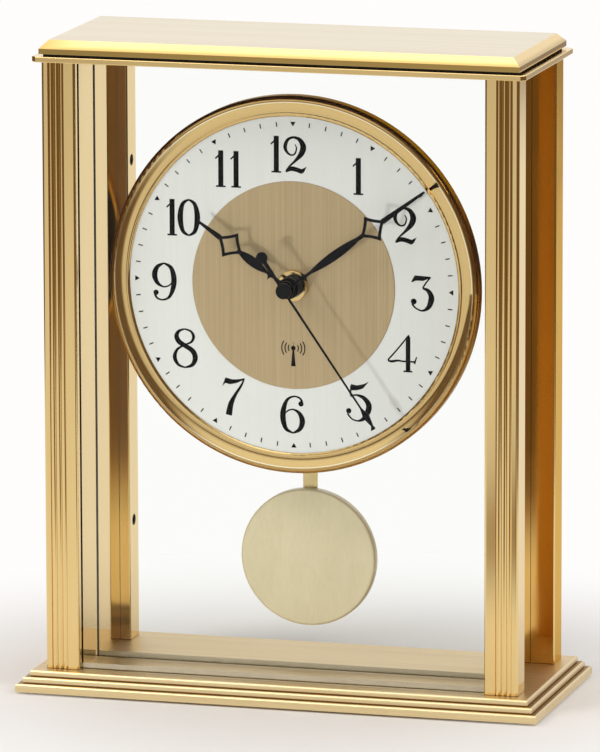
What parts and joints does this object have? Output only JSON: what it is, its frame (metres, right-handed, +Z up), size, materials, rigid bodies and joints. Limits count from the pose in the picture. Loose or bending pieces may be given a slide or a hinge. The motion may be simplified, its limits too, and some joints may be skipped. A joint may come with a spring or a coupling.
{
  "type": "desk pendulum clock",
  "caption": "Upright brass and glass desk clock with a round dial hung on a glass pane, a disc pendulum below it, fluted corner columns, a moulded base and a chamfered top.",
  "frame": {"origin": "middle of the underside, on the surface that the clock stands on", "axes": "+Z up, the dial faces -Y, +X to the viewer's right"},
  "size_m": [0.1942, 0.0834, 0.2378],
  "materials": {
    "polished_brass": "polished",
    "brushed_brass": "brushed",
    "clear_glass": "clear polished",
    "silver_dial": "brushed silver white",
    "gold_disc": "brushed gold",
    "black_hands": "satin black",
    "zinc_steel": "zinc plated",
    "black_steel": "blackened",
    "case_plastic": "fine spark texture",
    "wheel_plastic": "moulded",
    "board_plastic": "solder mask",
    "copper_winding": "enamelled wire",
    "ferrite": "ground",
    "battery_jacket": "gloss film",
    "black_rubber": "matt",
    "black_felt": "felt",
    "button_plastic": "moulded"
  },
  "bodies": {
    "case": {"front_left_column": "polished_brass", "front_right_column": "polished_brass", "rear_left_column": "polished_brass", "rear_right_column": "polished_brass", "left_side_panel": "polished_brass", "right_side_panel": "polished_brass", "top_ledge": "polished_brass", "bezel": "polished_brass", "fixing_nut": "polished_brass", "base_plinth": "brushed_brass", "top_slab": "brushed_brass", "front_glass": "clear_glass", "middle_glass": "clear_glass", "dial_plate": "silver_dial", "dial_centre_disc": "gold_disc", "base_screws": "zinc_steel", "ledge_screws": "zinc_steel", "pendulum_pin": "zinc_steel", "stators": "zinc_steel", "battery_plus_contact": "zinc_steel", "battery_minus_contact": "zinc_steel", "quartz_crystal": "zinc_steel", "column_set_screws": "black_steel", "movement_front_case": "case_plastic", "movement_rear_case": "case_plastic", "dial_pan": "case_plastic", "gear_plate": "case_plastic", "control_chip": "case_plastic", "button_switches": "case_plastic", "circuit_board": "board_plastic", "motor_coils": "copper_winding", "drive_coil": "copper_winding", "aerial_winding": "copper_winding", "aerial_rod": "ferrite", "battery": "battery_jacket", "rubber_washer": "black_rubber", "top_pad": "black_rubber", "base_felt": "black_felt"},
    "hour_train": {"hour_hand": "black_hands", "hour_wheel": "wheel_plastic"},
    "minute_train": {"minute_hand": "black_hands", "minute_wheel": "wheel_plastic"},
    "second_train": {"second_hand": "black_hands", "second_wheel": "wheel_plastic"},
    "motion_gear": {"motion_wheel": "wheel_plastic"},
    "minute_gear": {"minute_idler": "wheel_plastic"},
    "minute_motor": {"minute_rotor": "wheel_plastic"},
    "second_gear": {"second_idler": "wheel_plastic"},
    "second_motor": {"second_rotor": "wheel_plastic"},
    "pendulum": {"pendulum_hanger": "case_plastic", "pendulum_magnet": "zinc_steel", "pendulum_rod": "brushed_brass", "bob_shell": "polished_brass", "bob_back_plate": "brushed_brass", "bob_rivets": "brushed_brass"},
    "reset_key": {"reset_button": "button_plastic"},
    "receive_key": {"receive_button": "button_plastic"},
    "set_key": {"set_button": "button_plastic"}
  },
  "joints": [
    {"name": "minute_turn", "type": "hinge", "parent": "case", "child": "minute_train", "pos_m": [0, -0.0226, 0.14973], "axis": [0, 1, 0], "continuous": true},
    {"name": "hour_turn", "type": "hinge", "parent": "case", "child": "hour_train", "pos_m": [0, -0.0191, 0.14973], "axis": [0, 1, 0], "continuous": true},
    {"name": "motion_turn", "type": "hinge", "parent": "case", "child": "motion_gear", "pos_m": [-0.0096, -0.0015, 0.14973], "axis": [0, 1, 0], "continuous": true},
    {"name": "minute_gear_turn", "type": "hinge", "parent": "case", "child": "minute_gear", "pos_m": [-0.00369, 0.0005, 0.13958], "axis": [0, 1, 0], "continuous": true},
    {"name": "minute_motor_turn", "type": "hinge", "parent": "case", "child": "minute_motor", "pos_m": [-0.01106, 0.0005, 0.13533], "axis": [0, 1, 0], "continuous": true},
    {"name": "second_turn", "type": "hinge", "parent": "case", "child": "second_train", "pos_m": [0, -0.0254, 0.14973], "axis": [0, 1, 0], "continuous": true},
    {"name": "second_gear_turn", "type": "hinge", "parent": "case", "child": "second_gear", "pos_m": [-0.00369, 0.0025, 0.15988], "axis": [0, 1, 0], "continuous": true},
    {"name": "second_motor_turn", "type": "hinge", "parent": "case", "child": "second_motor", "pos_m": [-0.00976, 0.0025, 0.16338], "axis": [0, 1, 0], "continuous": true},
    {"name": "pendulum_swing", "type": "hinge", "parent": "case", "child": "pendulum", "pos_m": [0, 0.0115, 0.19873], "axis": [0, 1, 0], "range_deg": [-6, 6]},
    {"name": "reset_press", "type": "slide", "parent": "case", "child": "reset_key", "axis": [0, -1, 0], "range_m": [0, 0.0008], "stiffness_N_per_m": 900, "springref_m": -0.0004},
    {"name": "receive_press", "type": "slide", "parent": "case", "child": "receive_key", "axis": [0, -1, 0], "range_m": [0, 0.0008], "stiffness_N_per_m": 900, "springref_m": -0.0004},
    {"name": "set_press", "type": "slide", "parent": "case", "child": "set_key", "axis": [0, -1, 0], "range_m": [0, 0.0008], "stiffness_N_per_m": 900, "springref_m": -0.0004}
  ],
  "couplings": [
    {"joint": "hour_turn", "follows": "minute_turn", "ratio": 0.083333},
    {"joint": "motion_turn", "follows": "minute_turn", "ratio": -0.33333},
    {"joint": "minute_gear_turn", "follows": "minute_turn", "ratio": -8},
    {"joint": "minute_motor_turn", "follows": "minute_turn", "ratio": 60},
    {"joint": "second_gear_turn", "follows": "second_turn", "ratio": -5},
    {"joint": "second_motor_turn", "follows": "second_turn", "ratio": 30}
  ]
}
